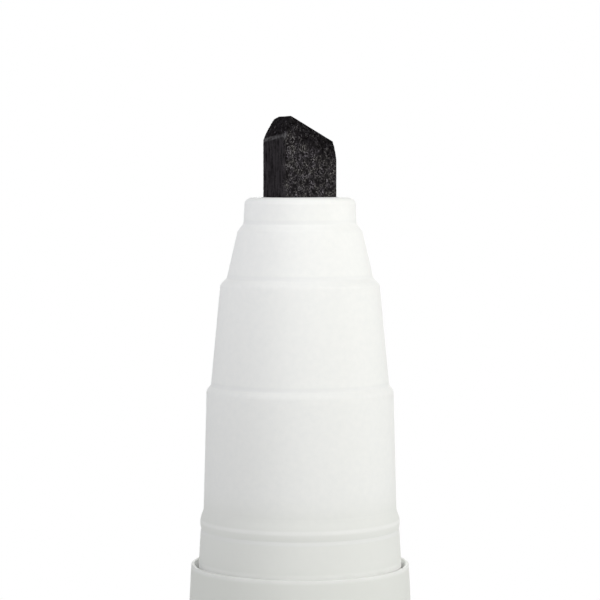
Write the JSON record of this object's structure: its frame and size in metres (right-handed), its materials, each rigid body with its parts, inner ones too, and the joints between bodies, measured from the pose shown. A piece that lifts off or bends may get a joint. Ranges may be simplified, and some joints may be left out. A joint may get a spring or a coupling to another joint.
{
  "type": "liquid chalk marker",
  "caption": "Valve-action liquid chalk marker with a slanted chisel nib in a stepped nose, a round ink barrel and a fluted cap posted on the tail; the nib presses in to open the valve.",
  "frame": {"origin": "centre of the ring on the posted cap's closed end, on which the marker stands", "axes": "+Z along the marker's axis towards the nib; the nib's broad faces look along +Y and -Y, and its high edge is on the -X side"},
  "size_m": [0.0194, 0.0194, 0.1697],
  "materials": {
    "white_plastic": "satin moulded white",
    "nib_fibre": "bonded fibre soaked with black ink",
    "absorber_foam": "open-cell foam",
    "natural_plastic": "unpigmented moulding",
    "seal_rubber": "soft washer",
    "spring_steel": "drawn stainless wire",
    "ball_steel": "polished steel",
    "black_plastic": "glossy moulded black"
  },
  "bodies": {
    "marker_body": {"barrel": "white_plastic", "nose_section": "white_plastic", "valve_housing": "natural_plastic", "spring_retainer": "natural_plastic", "ink_absorber": "absorber_foam", "tail_plug": "black_plastic", "valve_spring": "spring_steel"},
    "nib_body": {"nib": "nib_fibre"},
    "plunger": {"nib_socket": "natural_plastic", "valve_stem": "natural_plastic", "valve_seal": "seal_rubber"},
    "ball": {"mixing_ball": "ball_steel"},
    "cap": {"cap_shell": "black_plastic", "cap_liner": "natural_plastic"}
  },
  "joints": [
    {"name": "nib_press", "type": "slide", "parent": "marker_body", "child": "nib_body", "axis": [0, 0, -1], "range_m": [0, 0.0025], "stiffness_N_per_m": 600, "springref_m": -0.0015},
    {"name": "valve_travel", "type": "slide", "parent": "marker_body", "child": "plunger", "axis": [0, 0, -1], "range_m": [0, 0.0025], "deforming": ["valve_spring"]},
    {"name": "ball_travel", "type": "slide", "parent": "marker_body", "child": "ball", "axis": [0, 0, 1], "range_m": [0, 0.074]},
    {"name": "cap_pull", "type": "slide", "parent": "marker_body", "child": "cap", "axis": [0, 0, -1], "range_m": [0, 0.03]}
  ],
  "couplings": [
    {"joint": "valve_travel", "follows": "nib_press", "ratio": 1}
  ]
}
